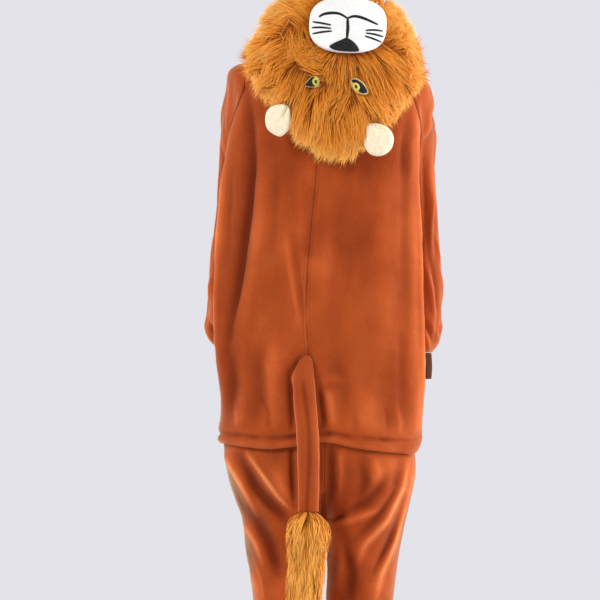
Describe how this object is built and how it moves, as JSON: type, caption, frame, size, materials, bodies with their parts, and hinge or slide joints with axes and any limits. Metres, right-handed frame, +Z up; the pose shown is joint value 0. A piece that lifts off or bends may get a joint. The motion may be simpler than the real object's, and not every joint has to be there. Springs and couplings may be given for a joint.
{
  "type": "lion onesie",
  "caption": "Worn lion onesie with a maned hood hanging down the back, padded muzzle, plush ears, bloused hem, and a tail with a fur tuft.",
  "frame": {"origin": "between the shoulders at the height of their tops, where the garment hangs", "axes": "+Z up, the garment's back looks to -Y, its front to +Y, its right sleeve is at +X"},
  "size_m": [0.463, 0.343, 1.448],
  "materials": {
    "fleece": "rust-brown velvety flannel fleece",
    "mane": "long-pile golden brown fur",
    "rib": "dark rib knit",
    "white_plush": "short white plush",
    "cream_plush": "short cream plush",
    "black_stitch": "black satin embroidery",
    "yellow_stitch": "yellow satin embroidery",
    "button": "satin"
  },
  "bodies": {
    "root": {"back_left": "fleece", "back_right": "fleece", "front_left": "fleece", "front_right": "fleece", "sleeve_left": "fleece", "sleeve_right": "fleece", "leg_back_left": "fleece", "leg_back_right": "fleece", "leg_front_left": "fleece", "leg_front_right": "fleece", "cuff_left": "rib", "cuff_right": "rib", "ankle_left": "rib", "ankle_right": "rib", "hood_left": "mane", "hood_right": "mane", "muzzle": "white_plush", "nose": "black_stitch", "eye_left": "black_stitch", "eye_right": "black_stitch", "ear_left": "cream_plush", "ear_right": "cream_plush", "tail": "fleece", "tail_tuft": "mane", "placket": "fleece", "button_1": "button", "button_2": "button", "button_3": "button", "button_4": "button", "button_5": "button"}
  },
  "joints": []
}
